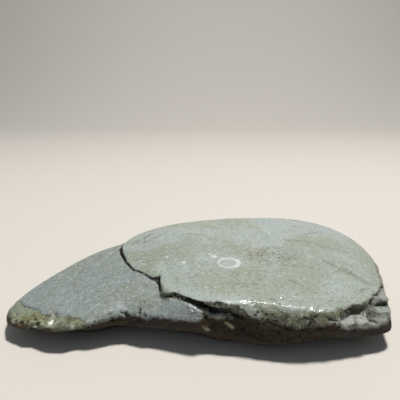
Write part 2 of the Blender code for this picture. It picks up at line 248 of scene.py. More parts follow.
def outside_of(places, border, rest=()):
    """How far each place lies outside the outline, less than 0 inside.

    rest closes the outline beyond the stone, where it is no real border.
    """
    x, y = places.T
    within = np.zeros(len(places), bool)
    points = np.array(border + rest)
    for (ax, ay), (bx, by) in zip(points, np.roll(points, -1, axis=0)):
        if ay == by:
            continue
        within ^= ((ay > y) != (by > y)) & (x < ax + (y - ay) * (bx - ax) / (by - ay))
    way = away_from(places, border, closed=not rest)[0]
    return np.where(within, -way, way)


def read_off(table, at):
    """Each other column of the table at these values of its first one."""
    rows = np.array(table)
    return [np.interp(at, rows[:, 0], column) for column in rows[:, 1:].T]


print("plan lines:", len(MAIN_OUTLINE), len(LEDGE), len(TIP_EDGE), len(CORNER_EDGE))

# %% [markdown]
# ## Shaping one by one
# A few forms are shaped as with a rasp. The tail's shoulder fills up to the crack, the upper sheet at
# the tip ends in a small step, pits are eaten into the tail's edge, and two chips and a lump stick to
# the front. The stone is broken away under its brow, its foot stands out or goes in, and a lobe is left
# in the broken corner. Each is a short list of places, so it can be read and moved, where a displacement
# texture would hide it.

# %% Shoulder of the tail
# Where the tail's lit face starts under the crack and where it ends: x, then y and height of both.
SHOULDER = (
    (-30, -57, 30.8, -71, 21), (-26.7, -59.7, 31.2, -72.3, 21.6), (-23.2, -62.5, 31.3, -73.4, 21.9),
    (-19.9, -64.5, 31.4, -74.4, 22.3), (-16.5, -67.2, 31.6, -75.3, 22.7),
    (-13.2, -69.7, 31.8, -76.3, 23), (-10, -72, 31.6, -77.2, 23.1), (-6.7, -74.2, 30.8, -78, 22.9),
    (-3.6, -75.3, 29.6, -78.2, 22.4), (-1, -75.7, 28.4, -78.2, 22), (2, -76, 27, -78, 21.8),
)
SHOULDER_X = (-31.0, -26.0, -3.5, 1.0)
SHOULDER_BULGE, SHOULDER_LIP, SHOULDER_TOE, SHOULDER_UPWARD = 1.5, 0.9, 0.5, 0.1
UNDERCUT, UNDERCUT_REACH = 0.45, 11.0

points, normals = skin_of(stone)
x, y, z = points.T
start_y, start_z, end_y, end_z = read_off(SHOULDER, x)
along = window(x, *SHOULDER_X)
# The steep face is drawn out to the new slope, and goes back in below it.
share = np.clip((start_z - z) / (start_z - end_z), 0.0, 1.0)
front_y = start_y + (end_y - start_y) * share ** (1.0 / SHOULDER_BULGE)
front_y += UNDERCUT * np.maximum(end_z - z, 0.0)
at_front = (normals[:, 1] < FACES_FRONT) & (y < FRONT_SIDE)
between = (z < start_z) & (z > end_z - UNDERCUT_REACH)
drawn_out = np.maximum(y - front_y, 0.0) * along * at_front * between
y -= drawn_out
share = np.clip((start_y - y) / (start_y - end_y), 0.0, 1.0)
filled = start_z - (start_z - end_z) * share ** SHOULDER_BULGE
takes = soft_step(start_y + SHOULDER_LIP, start_y, y) * (y > end_y - SHOULDER_TOE)
raised = np.maximum(filled - z, 0.0) * takes * along * (normals[:, 2] > SHOULDER_UPWARD)
z += raised
move_points(stone.data, points)
print("shoulder out and up by", round(drawn_out.max(), 1), round(raised.max(), 1), "mm")

# %% Step at the tip, pits and chips
TIP_STEP, STEP_HALF, STEP_UPWARD = 0.8, 0.5, (0.2, 0.6)
# Pits along the tail's front edge: x, y, reach and depth.
PITS = (
    (-126.1, -62.1, 1.6, 1.4), (-120.8, -65.6, 1.8, 1.5), (-116.8, -66.3, 1.3, 1.2),
    (-111.9, -64.9, 1.6, 1.6), (-108.9, -69.6, 2, 1.8), (-105.6, -65.6, 1.5, 1.3),
    (-98.3, -63.5, 2.4, 1.6), (-92, -66.5, 1.2, 1), (-128.5, -55, 1.3, 0.9), (-114, -61.5, 1.1, 0.8),
    (-59.9, -69.6, 3, 2), (-55.5, -68.5, 2.6, 1.8), (-43, -66.3, 1.8, 1.5), (-39, -68.3, 1.6, 1.3),
)
PIT_EDGE, PIT_UPWARD = (1.0, 0.2), -0.1
# Pale chips and a dark lump on the front: x and height of the middle, half its length and width, and
# its turn in degrees.
PROUD = {
    "chip": (((0.5, 16.9), (2.3, 1.4), -12.0), ((14.7, 20.8), (3.8, 1.1), -32.0)),
    "lump": (((-25.6, 32.4), (5.2, 2.4), 8.0),),
}
PROUD_BY, PROUD_EDGE = 0.8, (1.15, 0.75)

points, normals = skin_of(stone)
places = points[:, :2]
step = soft_step(STEP_HALF, -STEP_HALF, outside_of(places, TIP_EDGE, TIP_REST))
points[:, 2] -= TIP_STEP * step * soft_step(*STEP_UPWARD, normals[:, 2])
for x, y, reach, depth in PITS:
    way = np.hypot(places[:, 0] - x, places[:, 1] - y) / reach
    pit = depth * soft_step(*PIT_EDGE, way) * (normals[:, 2] > PIT_UPWARD)
    points -= normals * pit[:, None]
stands = {}
for name, shapes in PROUD.items():
    stands[name] = np.zeros(len(points))
    for (x, z), (long, wide), turn in shapes:
        across, up = points[:, 0] - x, points[:, 2] - z
        cosine, sine = math.cos(math.radians(turn)), math.sin(math.radians(turn))
        way = np.hypot((across * cosine + up * sine) / long, (up * cosine - across * sine) / wide)
        shape = soft_step(*PROUD_EDGE, way) * (normals[:, 1] < FACES_FRONT)
        stands[name] = np.maximum(stands[name], shape)
    points += normals * (PROUD_BY * stands[name])[:, None]
move_points(stone.data, points)
print("pits:", len(PITS), "proud:", ", ".join(PROUD))

# %% Recess under the brow
# How far the stone is broken away in the front gap: x and that depth in mm.
RECESS = (
    (-25, 0), (-18, 3), (-10, 4.5), (-3, 5.5), (10, 5), (17, 3.4), (24, 1.2), (30, 0),
)
RECESS_LIP, LEAST_BROW = (-0.3, 0.9), 0.5


def front_gap_at(points):
    """The lower lip, the upper lip and the brow at each point, and whether it is on the front there."""
    x, y, z = points.T
    here = (x > FRONT_GAP[0][0]) & (x < FRONT_GAP[-1][0]) & (y < FRONT_SIDE)
    return *read_off(FRONT_GAP, x), here


points, normals = skin_of(stone)
x, y, z = points.T
lower_lip, upper_lip, brow, here = front_gap_at(points)
recess = read_off(RECESS, x)[0] * soft_step(lower_lip + RECESS_LIP[0], lower_lip + RECESS_LIP[1], z)
recess *= np.clip((brow - z) / np.maximum(brow - upper_lip, LEAST_BROW), 0.0, 1.0)
recess *= here & (normals[:, 1] < FACES_FRONT)
print("recess up to", round(recess.max(), 1), "mm deep")

# %% Foot of the front
# How far the foot stands out, less than 0 where it goes in: x and that way in mm.
FOOT = (
    (-10, 0), (-2, 1), (6.7, 4.5), (18, 3.5), (33, 4), (41, 1), (50, -1.5), (60, -3), (71, -5),
    (80, -4), (89, -3), (100, -1.5), (108, -1), (115, 0),
)
# Its top rises from the left to the right: the lower height, the rise, and between which x.
FOOT_TOP, FOOT_RISE, FOOT_RISE_X = 18.0, 8.0, (45.0, 58.0)
FOOT_FADE, FOOT_Y = 14.0, (-30.0, -55.0)

foot_top = FOOT_TOP + FOOT_RISE * soft_step(*FOOT_RISE_X, x)
foot = read_off(FOOT, x)[0] * soft_step(foot_top, foot_top - FOOT_FADE, z) * soft_step(*FOOT_Y, y)
print("foot from", round(foot.min(), 1), "to", round(foot.max(), 1), "mm")

# %% Lobe in the corner, edge over it and notch
# How far each is moved, and between which x, y and heights it sets in and fades, all in mm.
LOBE_UP, LOBE_X, LOBE_Y = 4.0, (80.0, 87.0, 103.0, 113.0), (-57.0, -62.0)
LOBE_Z = (20.0, 25.0, 25.5, 32.0)
EDGE_BACK, EDGE_X, EDGE_Y, EDGE_Z = 3.0, (78.0, 84.0, 96.0, 106.0), (-64.0, -72.0), (26.0, 28.5)
NOTCH_BACK, NOTCH_X, NOTCH_Y = 1.6, (-45.0, -38.0, -32.0, -29.0), (-47.0, -43.5, -39.0, -32.0)

lobe = LOBE_UP * window(x, *LOBE_X) * soft_step(*LOBE_Y, y) * window(z, *LOBE_Z)
back = EDGE_BACK * window(x, *EDGE_X) * soft_step(*EDGE_Y, y) * soft_step(*EDGE_Z, z)
back += NOTCH_BACK * window(x, *NOTCH_X) * window(y, *NOTCH_Y)
points += np.column_stack([np.zeros(len(x)), recess - foot + back, lobe])
move_points(stone.data, points)
print("lobe and edge moved by up to", round(lobe.max(), 1), round(back.max(), 1), "mm")

# %% The foot is worn too
WORN_FOOT_X, WORN_FOOT_Y, WORN_FOOT_Z = (-40.0, -25.0), -40.0, (2.0, 5.0, 18.0, 23.0)
FOOT_PASSES = 30

x, y, z = skin_of(stone)[0].T
wear(stone, window(z, *WORN_FOOT_Z) * (y < WORN_FOOT_Y) * soft_step(*WORN_FOOT_X, x), FOOT_PASSES)

# %% [markdown]
# ## Rough edges
# Where slate breaks, the edge is a stack of beds, each of which ends a little further out or in than the
# next, and water rounds it to lumps with dark creases between them. A Geometry Nodes tree does that for
# the whole skin. It works where the attribute "rough" says so, counts the beds by their height, and
# keeps how deep each point lies in a crease, so that the finish can paint the creases darker.

# %% Where the edge is rough
STEEP_EDGE = (0.80, 0.35)


def keep_zones(mesh, zones):
    """Keeps one number for each point under each zone's name."""
    for name, values in zones.items():
        mesh.attributes.new(name, "FLOAT", "POINT").data.foreach_set("value", values.astype(np.float32))
        print(f"{name}: from {values.min():.2f} to {values.max():.2f}")


points, normals = skin_of(stone)
places = points[:, :2]
x, y, z = points.T
by_ledge = soft_step(7.0, 2.5, away_from(places, LEDGE)[0]) * soft_step(22.0, 26.0, z)
in_corner = soft_step(0.5, -0.5, outside_of(places, CORNER_EDGE, CORNER_REST))
shoulder = window(x, -32.0, -28.0, -2.0, 2.0) * soft_step(19.0, 21.0, z) * (z < 31.5)
# The break is plainer in places: by which share, and where.
PLAINER = {
    "back": (0.55, soft_step(-60.0, -30.0, y)),
    "foot": (0.55, soft_step(24.0, 10.0, z)),
    "ledge": (1.0, by_ledge),
    "corner": (0.3, in_corner),
    "shoulder": (0.7, shoulder),
}
rough = soft_step(*STEEP_EDGE, np.abs(normals[:, 2]))
for share, there in PLAINER.values():
    rough *= 1.0 - share * there
keep_zones(stone.data, {"rough": rough, **stands})

# %% A tree for the rough edges
slate = bpy.data.materials.new("water_worn_slate")


def new_tree(name, inputs):
    """A Geometry Nodes tree with named inputs, and its group input node."""
    tree = bpy.data.node_groups.new(name, "GeometryNodeTree")
    tree.interface.new_socket("Geometry", in_out="INPUT", socket_type="NodeSocketGeometry")
    tree.interface.new_socket("Geometry", in_out="OUTPUT", socket_type="NodeSocketGeometry")
    for label, kind, value in inputs:
        socket = tree.interface.new_socket(label, in_out="INPUT", socket_type="NodeSocket" + kind)
        if value is not None:
            socket.default_value = value
    return tree, tree.nodes.new("NodeGroupInput").outputs


def end_tree(tree, geometry, material):
    """The last nodes of every tree here: plain geometry with its material."""
    real = add(tree, "GeometryNodeRealizeInstances", (geometry,))
    painted = add(tree, "GeometryNodeSetMaterial", {"Geometry": real, "Material": material})
    add(tree, "NodeGroupOutput", (painted,))


def apply_tree(piece, tree, values):
    """Runs the tree on the piece with these inputs, set by each socket's identifier."""
    modifier = piece.modifiers.new(tree.name, "NODES")
    modifier.node_group = tree
    for socket in tree.interface.items_tree:
        if socket.name in values:
            modifier[socket.identifier] = values[socket.name]
    return keep_shown_mesh(piece)


# Places are bent by noise, the beds lean, and the chips lie flat. A crease sets in between two values.
BENDS_PER_METRE, BEND_BY, BED_LEAN, FLATNESS = 75.0, 6.0 * MM, 0.08, (1.0, 1.0, 2.4)
FOLD_LINE, FOLD_PATCH, HOLE_CORE = (0.022, 0.0), (-0.04, 0.06), (0.10, 0.22)

edges, given = new_tree("rough edges", (
    ("Bed thickness", "Float", 2.3 * MM),
    ("Bed depth", "Float", 1.0 * MM),
    ("Lump size", "Float", 14.0 * MM),
    ("Lump depth", "Float", 3.6 * MM),
    ("Chip size", "Float", 4.5 * MM),
    ("Chip depth", "Float", 2.2 * MM),
    ("Fold size", "Float", 20.0 * MM),
    ("Hole size", "Float", 6.0 * MM),
    ("Crease depth", "Float", 1.6 * MM),
    ("Swell size", "Float", 36.0 * MM),
    ("Swell depth", "Float", 1.1 * MM),
    ("Seed", "Float", 3.0),
    ("Material", "Material", None),
))
place = add(edges, "GeometryNodeInputPosition")
normal = add(edges, "GeometryNodeInputNormal")
rough_there = add(edges, "GeometryNodeInputNamedAttribute", {"Name": "rough"})

# Nothing in stone is straight, so every place is first shifted by a noise of its own.
bent = add(edges, NOISE, {"Vector": place, "Scale": BENDS_PER_METRE, "Detail": 3.0}, normalize=False)
bend = add(edges, VECTOR, {0: bent.outputs["Color"], "Scale": BEND_BY}, operation="SCALE")
bent_place = add(edges, VECTOR, (place, bend), operation="ADD")
flat_place = add(edges, VECTOR, (bent_place, FLATNESS), operation="MULTIPLY")

# The beds are counted by their height, and they lean a little.
across = add(edges, "ShaderNodeSeparateXYZ", (bent_place,)).outputs
leaning = add(edges, MATH, (across["X"], BED_LEAN, across["Z"]), operation="MULTIPLY_ADD")
bed = add(edges, MATH, (leaning, given["Bed thickness"]), operation="DIVIDE")
bed_number = add(edges, MATH, (bed,), operation="FLOOR")
bed_place = add(edges, "ShaderNodeCombineXYZ", (across["X"], across["Y"], bed_number))

# Each noise about 0: the input that holds its size, its detail, and where it is read.
CLOUDS = {
    "beds": ("Bed thickness", 1.0, bed_place),
    "lumps": ("Lump size", 2.0, place),
    "chips": ("Chip size", 3.0, flat_place),
    "folds": ("Fold size", 2.0, flat_place),
    "holes": ("Hole size", 2.0, flat_place),
    "swell": ("Swell size", 1.0, place),
}
cloud = {}
for name, (size, detail, read_at) in CLOUDS.items():
    scale = add(edges, MATH, (1.0, given[size]), operation="DIVIDE")
    drawn = add(edges, NOISE, {
        "Vector": read_at, "W": given["Seed"], "Scale": scale, "Detail": detail, "Roughness": 0.55,
    }, noise_dimensions="4D")
    cloud[name] = add(edges, MATH, (drawn, 0.5), operation="SUBTRACT")

# A crease is a fold line, where its noise passes 0, or a hole, where its noise is high.
off_fold = add(edges, MATH, (cloud["folds"],), operation="ABSOLUTE")
fold = add(edges, RANGE, (off_fold, *FOLD_LINE), interpolation_type="SMOOTHSTEP")
patch = add(edges, RANGE, (cloud["lumps"], *FOLD_PATCH))
hole = add(edges, RANGE, (cloud["holes"], *HOLE_CORE), interpolation_type="SMOOTHSTEP")
fold_here = add(edges, MATH, (fold, patch), operation="MULTIPLY")
deepest = add(edges, MATH, (fold_here, hole), operation="MAXIMUM")
crease = add(edges, MATH, (deepest, rough_there), operation="MULTIPLY")
marked = add(
    edges, "GeometryNodeStoreNamedAttribute",
    {"Geometry": given["Geometry"], "Name": "crease", "Value": crease},
)

out = 0.0
for name, depth in (("beds", "Bed depth"), ("lumps", "Lump depth"), ("chips", "Chip depth")):
    out = add(edges, MATH, (cloud[name], given[depth], out), operation="MULTIPLY_ADD")
out = add(edges, MATH, (out, rough_there), operation="MULTIPLY")
sunk = add(edges, MATH, (crease, given["Crease depth"]), operation="MULTIPLY")
out = add(edges, MATH, (out, sunk), operation="SUBTRACT")
out = add(edges, MATH, (cloud["swell"], given["Swell depth"], out), operation="MULTIPLY_ADD")
shift = add(edges, VECTOR, {0: normal, "Scale": out}, operation="SCALE")
moved = add(edges, "GeometryNodeSetPosition", {"Geometry": marked, "Offset": shift})
end_tree(edges, moved, given["Material"])
print("rough edges on", apply_tree(stone, edges, {"Material": slate}), "faces")

# %% [markdown]
# ## Cracks and grooves
# The cracks are lines, so each is drawn as one: a few points seen from above or from the front, with
# half its width. They are dropped onto the skin, a second tree gives them a natural wiggle, and it
# presses the skin in close to them. It also keeps how deep each point lies in a crack.

# %% Lines on the stone
# Each line: half its width in mm, and its points in mm: x and y from above, x and height from the front.
CRACKS_FROM_ABOVE = (
    (0.6, ((56.2, -49), (61, -51.9), (65.8, -56.7))),
    (0.6, ((38.9, -71.9), (43.1, -73), (45.4, -77), (46.5, -81.1))),
    (0.7, ((102.4, -59), (105, -55), (109.4, -53.1))),
    # The wide line along the corner's broken edge is painted dark as the edge's shadow.
    (1.7, ((106.5, -65.5), (110, -61.5), (114.6, -57.6), (118.6, -52.3), (123.4, -44.3))),
    (1.1, ((102, -72.6), (103.6, -73), (105.2, -72.6), (107.7, -72.4), (109.2, -73))),
    (0.6, TIP_EDGE[:5]),
    (0.6, ((-98, -64.6), (-90.6, -66.1), (-84, -67.4))),
)
CRACKS_FROM_THE_FRONT = (
    (0.9, ((40, 31.5), (42.5, 28.5), (43.5, 26))), (1, ((72, 30), (76.5, 27), (80, 26.5))),
)
GROOVES_FROM_ABOVE = (
    (3.4, ((90.4, -17), (96.4, -22.9), (103.1, -29.5), (107.4, -37.9), (111.8, -43.8), (115.5, -46.5))),
    (1.6, ((89, 35.5), (98, 41.5), (107, 45))), (3.2, ((-61, 17), (-54, 27), (-47, 38))),
    (2.4, ((-52, 17), (-45, 26), (-38, 31))), (1.8, ((19, -55), (27, -54.5), (36, -55.5))),
    (2.2, ((67, 18.4), (81, 19.4), (91.9, 15.1), (103.7, 7), (116.5, 2))),
)
# Two thin sheets that broke loose show their edges in the gap.
SPLINTERS_FROM_THE_FRONT = (
    (0.75, ((-21.6, 33.2), (-18.6, 33.4), (-15.4, 33.3), (-12.6, 32.8))),
    (0.65, ((-20.4, 31.8), (-17, 32), (-13.6, 31.7), (-10.6, 30.9))),
)

HIGH_ABOVE, FAR_IN_FRONT = 100.0, -200.0
DOWN, BACKWARDS = Vector((0.0, 0.0, -1.0)), Vector((0.0, 1.0, 0.0))

skin_faces = BVHTree.FromObject(stone, bpy.context.evaluated_depsgraph_get())


def drawn_lines(name, from_above, from_the_front=()):
    """A curve object of these lines, dropped onto the skin, with half the width as its radius."""
    curve = bpy.data.curves.new(name, "CURVE")
    curve.dimensions = "3D"
    laid = [(width, [(x, y, HIGH_ABOVE) for x, y in line], DOWN) for width, line in from_above]
    laid += [(width, [(x, FAR_IN_FRONT, z) for x, z in line], BACKWARDS) for width, line in from_the_front]
    for half_width, starts, direction in laid:
        spline = curve.splines.new("POLY")
        spline.points.add(len(starts) - 1)
        for point, start in zip(spline.points, starts):
            hit = skin_faces.ray_cast(Vector(start) * MM, direction)[0]
            point.co = (*hit, 1.0)
            point.radius = half_width * MM
    print(name, "drawn:", len(curve.splines))
    return new_object(name, curve)


crack_lines = drawn_lines("cracks", CRACKS_FROM_ABOVE, CRACKS_FROM_THE_FRONT)
groove_lines = drawn_lines("grooves", GROOVES_FROM_ABOVE)
splinter_lines = drawn_lines("splinters", (), SPLINTERS_FROM_THE_FRONT)

# %% A tree for the cracks
WIGGLES_PER_METRE = 160.0

cracks, given = new_tree("cracks", (
    ("Lines", "Object", None),
    ("Wiggle", "Float", 0.7 * MM),
    ("Depth share", "Float", 0.9),
    ("Kept as", "String", "crack"),
    ("Material", "Material", None),
))
guide = add(cracks, "GeometryNodeObjectInfo", {"Object": given["Lines"]})
radius = add(cracks, "GeometryNodeInputRadius")
half_width = add(
    cracks, "GeometryNodeStoreNamedAttribute",
    {"Geometry": guide.outputs["Geometry"], "Name": "half_width", "Value": radius},
)
fine = add(cracks, "GeometryNodeResampleCurve", {"Curve": half_width, "Length": 1.0 * MM}, mode="LENGTH")
own = add(cracks, "GeometryNodeInputPosition")
wiggle = add(cracks, NOISE, {"Vector": own, "Scale": WIGGLES_PER_METRE, "Detail": 3.0}, normalize=False)
wiggled = add(cracks, VECTOR, {0: wiggle.outputs["Color"], "Scale": given["Wiggle"]}, operation="SCALE")
bent = add(cracks, "GeometryNodeSetPosition", {"Geometry": fine, "Offset": wiggled})
wires = add(cracks, "GeometryNodeCurveToMesh", {"Curve": bent})
away = add(cracks, "GeometryNodeProximity", (wires,), target_element="EDGES").outputs["Distance"]
nearest = add(cracks, "GeometryNodeSampleNearest", {"Geometry": wires})
kept_width = add(cracks, "GeometryNodeInputNamedAttribute", {"Name": "half_width"})
width_there = add(cracks, "GeometryNodeSampleIndex", {
    "Geometry": wires, "Value": kept_width, "Index": nearest,
})
share = add(cracks, MATH, (away, width_there), operation="DIVIDE")
deep = add(cracks, RANGE, (share, 1.0, 0.0), interpolation_type="SMOOTHSTEP")
depth = add(cracks, MATH, (width_there, given["Depth share"]), operation="MULTIPLY")
press = add(cracks, MATH, (deep, depth), operation="MULTIPLY")
inward = add(cracks, MATH, (press, -1.0), operation="MULTIPLY")
normal = add(cracks, "GeometryNodeInputNormal")
shift = add(cracks, VECTOR, {0: normal, "Scale": inward}, operation="SCALE")
marked = add(
    cracks, "GeometryNodeStoreNamedAttribute",
    {"Geometry": given["Geometry"], "Name": given["Kept as"], "Value": deep},
)
pressed = add(cracks, "GeometryNodeSetPosition", {"Geometry": marked, "Offset": shift})
end_tree(cracks, pressed, given["Material"])

for lines, values in (
    (crack_lines, {"Kept as": "crack"}),
    (groove_lines, {"Kept as": "groove", "Wiggle": 1.0 * MM, "Depth share": 0.28}),
    (splinter_lines, {"Kept as": "splinter", "Wiggle": 0.3 * MM, "Depth share": -3.5}),
):
    apply_tree(stone, cracks, {"Lines": lines, "Material": slate, **values})
    bpy.data.objects.remove(lines)
print("lines pressed into", len(stone.data.vertices), "points")

# %% [markdown]
# ## Wet flats
# Water stays on small faces that are worn flat, and those glint like glass. The points close to such a
# face are pressed onto one plane, which leans towards the lamp, so the glint comes from the shape and
# not from a painted white spot.

# %% Wet flats
# Each flat: x, y, half the length and half the width in mm.
WET_FLATS = (
    (24, -74.6, 3.4, 1.9), (29, -76, 1.5, 1.3), (33.4, -74.8, 1.4, 0.8), (39, -75.2, 2, 0.7),
    (47.4, -70, 1.2, 1.8), (53, -72, 2.2, 1.2), (48.6, -75.6, 1.8, 1.4), (51.3, -77.8, 1.8, 1),
    (59.4, -79.4, 1.7, 1.2), (64.4, -80.4, 2.4, 1.5), (69.6, -80.4, 2.6, 1.5), (73.9, -80.4, 1.3, 1),
    (91.9, -71.4, 1.2, 0.9), (93, -74.6, 1.1, 1), (114.9, -70.2, 1.1, 1.2), (116.6, -63.8, 1, 1),
    (-8.2, -74.7, 1.6, 1), (-4.4, -77.2, 2.2, 1.2), (-54.6, -61.5, 1, 1.3), (-52, -64, 1.2, 1),
    (-60.2, -67.3, 1.3, 0.9), (-99.4, -69.8, 2.6, 2.8), (-44.1, -62.4, 0.9, 0.8),
    (-26.8, -69.5, 1, 0.9),
)
DEEPEST_FLAT, FLAT_EDGE, FLAT_STRETCH = 1.6, (1.25, 0.85), 1.1
# The stone bends along its front, so the flats on the left lean more to the right.
LEAN_SIDE, LEAN_PER_MM, LEAN_FRONT = 0.05, 0.0021, -0.44

points = skin_of(stone)[0]
for x, y, half_length, half_width in WET_FLATS:
    lean = Vector((LEAN_SIDE - LEAN_PER_MM * x, LEAN_FRONT, 0.0))
    lean.z = math.sqrt(1.0 - lean.length_squared)
    start = skin_faces.ray_cast(Vector((x, y, HIGH_ABOVE)) * MM, DOWN)[0] / MM
    off = points - np.array(start)
    way = np.hypot(off[:, 0] / half_length, np.hypot(off[:, 1], off[:, 2]) / half_width / FLAT_STRETCH)
    high = off @ np.array(lean)
    shift = -high * soft_step(*FLAT_EDGE, way) * (np.abs(high) < DEEPEST_FLAT)
    points += shift[:, None] * np.array(lean)
move_points(stone.data, points)
print("wet flats:", len(WET_FLATS))

# %% [markdown]
# ## The open crack
# Where the slab lies on the tail the crack between them stands open, and it looks black. In the mesh it
# is a shallow ditch as wide as its list says, and its shade is painted on it in black. The other edge of
# the skin, the bed, is made quite level here, and nothing may leave the solid's box.

# %% The open crack
# The way to a border where its zone can't be at all, in mm.
FAR_OUTSIDE = -5.0
LEDGE_ABOVE, LEDGE_REACH, UNDER_SLAB = 18.0, 6.0, 0.3
DITCH_DEPTH, DITCH_EDGE, DITCH_START, DITCH_UPWARD = 2.2, (0.0, 0.9), 0.2, 0.3
LEVEL_BELOW = 0.2
# In front of the ledge's end the tail lies below the gap's lower lip, under the slab's edge too.
UNDER_LIP_X, UNDER_LIP_BELOW = (-31.0, -0.8), 34.0

points, normals = skin_of(stone)
x, y, z = points.T
main_way = outside_of(points[:, :2], MAIN_OUTLINE)
ledge_way, gape = away_from(points[:, :2], LEDGE)
by_ledge = (z > LEDGE_ABOVE) & (ledge_way <= LEDGE_REACH)
in_gap = np.where(by_ledge, np.minimum(main_way + UNDER_SLAB, gape - main_way), FAR_OUTSIDE)
lower_lip, upper_lip, brow, here = front_gap_at(points)
front_gap = np.where(here, np.minimum(z - lower_lip, upper_lip - z), FAR_OUTSIDE)
# Under the brow the face from the gap's lower lip up to the brow is painted dark, as its shade.
under_brow_shade = np.where(here & (x > 0.0), np.minimum(z - lower_lip, brow - z), FAR_OUTSIDE)

ditch = DITCH_DEPTH * soft_step(*DITCH_EDGE, in_gap) * (normals[:, 2] > DITCH_UPWARD)
points[:, 2] -= ditch * (main_way > DITCH_START)
low, high = (np.array(corner) / MM for corner in cad_box)
points = np.clip(points, low, high)
points[points[:, 2] < LEVEL_BELOW, 2] = 0.0
move_points(stone.data, points)

x, y, z = points.T
under_lip = (y < FRONT_SIDE) & (x > UNDER_LIP_X[0]) & (z < UNDER_LIP_BELOW)
keep_zones(stone.data, {
    "tail_way": np.where(under_lip, np.minimum(lower_lip - z, UNDER_LIP_X[1] - x), main_way),
    "gap_shade_way": np.maximum(in_gap, front_gap),
    "brow_shade_way": under_brow_shade,
})

# %% [markdown]
# ## Zones of the skin
# The finish differs from zone to zone: the tail is bluer than the top, partly its own tone and partly a
# painted reflection of the sky, and the low edge is painted dark brown, partly as a stain and partly as
# painted shade of the undercut foot. The tip is overgrown with olive algae and the broken corner shows
# fresh slate. Each zone is kept as one number for each point of the mesh, most often the way to its border
# in mm, and the material reads them.

# %% Stain and painted shade, tip and corner
# Up to this height the stone is painted dark brown, partly a stain and partly painted shade of the
# undercut foot: x and the height.
STAIN_AND_SHADE_UP_TO = (
    (-139, 12), (-133, 13.6), (-129.5, 14.8), (-125, 15), (-118, 15.8), (-112, 16.2), (-107, 15.6),
    (-102.8, 17.4), (-97, 17.7), (-88, 17.9), (-83, 15.8), (-76, 17), (-68, 18), (-62, 19.2),
    (-57, 20.4), (-50, 20.8), (-35, 21.8), (-20, 22.3), (-6, 22.9), (0, 24), (12, 26.2), (17, 27),
    (21, 29), (25, 28.8), (29, 27.5), (35, 26), (43, 25.2), (52, 24.3), (61, 24), (70, 24.8), (77, 25),
    (80, 24), (88, 21.2), (95, 20.2), (102, 19.8), (108, 20), (112, 21.2), (118, 20.2), (128, 15.5),
    (139, 11),
)
# On the flat top of the tip and its back edge the dark brown ends lower by this height.
CLEAN_TIP, CLEAN_X, CLEAN_Y, CLEAN_UPWARD = 2.2, (-92.0, -100.0), (-56.0, -48.0), (0.80, 0.93)
# Up to this height the corner shows fresh slate: x and the height.
FRESH_UP_TO = ((80, 31), (100, 31.3), (106, 33.5), (139, 34))
# The rough hollow in the corner, painted dark as its shade: x, and between which heights it is.
HOLLOW = (
    (82, 29.5, 29.5), (86, 25.6, 32.6), (92, 24.6, 33.3), (100, 24.2, 33.2), (106, 24.4, 31.5),
    (111, 23, 27), (124, 22.8, 27.4), (127, 24, 24),
)
HOLLOW_X, HOLLOW_Y = (81.0, 127.0), (-73.6, -40.0)
# On the right it lies further back, and high up it has no level part.
HOLLOW_RIGHT, HOLLOW_BACK, HOLLOW_HIGH, HOLLOW_LEVEL = 109.0, -62.0, 31.0, 0.7

places, up = points[:, :2], normals[:, 2]
clean = np.maximum(soft_step(*CLEAN_UPWARD, up), soft_step(*CLEAN_Y, y)) * soft_step(*CLEAN_X, x)
fresh_way = read_off(FRESH_UP_TO, x)[0] - z
bottom, top = read_off(HOLLOW, x)
in_shaded_hollow = (x > HOLLOW_X[0]) & (x < HOLLOW_X[1]) & (y > HOLLOW_Y[0]) & (y < HOLLOW_Y[1])
in_shaded_hollow &= ((x < HOLLOW_RIGHT) | (y > HOLLOW_BACK)) & ((z < HOLLOW_HIGH) | (up < HOLLOW_LEVEL))
keep_zones(stone.data, {
    "stain_and_shade_way": read_off(STAIN_AND_SHADE_UP_TO, x)[0] - z - CLEAN_TIP * clean,
    "tip_way": -outside_of(places, TIP_EDGE, TIP_REST),
    "corner_way": np.minimum(-outside_of(places, CORNER_EDGE, CORNER_REST), fresh_way),
    "hollow_shade_way": np.where(in_shaded_hollow, np.minimum(z - bottom, top - z), FAR_OUTSIDE),
})

# %% Rim, flake and water
# A pale flake of the slab hangs over its front edge here: x and height.
FLAKE = ((20.5, 35), (31, 33.5), (34.8, 29), (34.6, 26.4), (29.5, 27.2), (24.4, 30.8))
FLAKE_EDGE, FLAKE_Y = (0.9, -0.6), -60.0
# Along this line the slab's edge is worn pale: x and y.
WORN_BAND = (
    (-32.6, -29), (-28.9, -38.5), (-27.4, -46), (-23.3, -56), (-14.5, -61), (-3.6, -68), (11.9, -71),
    (24, -73),
)
BAND_EDGE, BAND_INSIDE = (6.5, 1.0), (0.5, -1.0)
RIM_Z, RIM_UPWARD, RIM_INSIDE = (33.4, 30.5), (0.95, 0.7), 0.5
SMOOTH_X, SMOOTH_Z, STEEP_SIDE = (-32.0, -28.0, -3.0, 1.0), (19.0, 31.5), (0.80, 0.40)
# The flake has this share less algae, and this much wear.
FLAKE_CLEAN, FLAKE_WORN = 0.85, 0.6
# The front edge is wet to the right of the gap, less so to the left of it and on the tail.
WET_X, WET_Y, WET_REACH = (18.0, 23.0), (-56.0, -62.0), 16.0
HALF_WET, LEFT_OF_GAP, ON_TAIL = 0.5, 4.0, -38.0

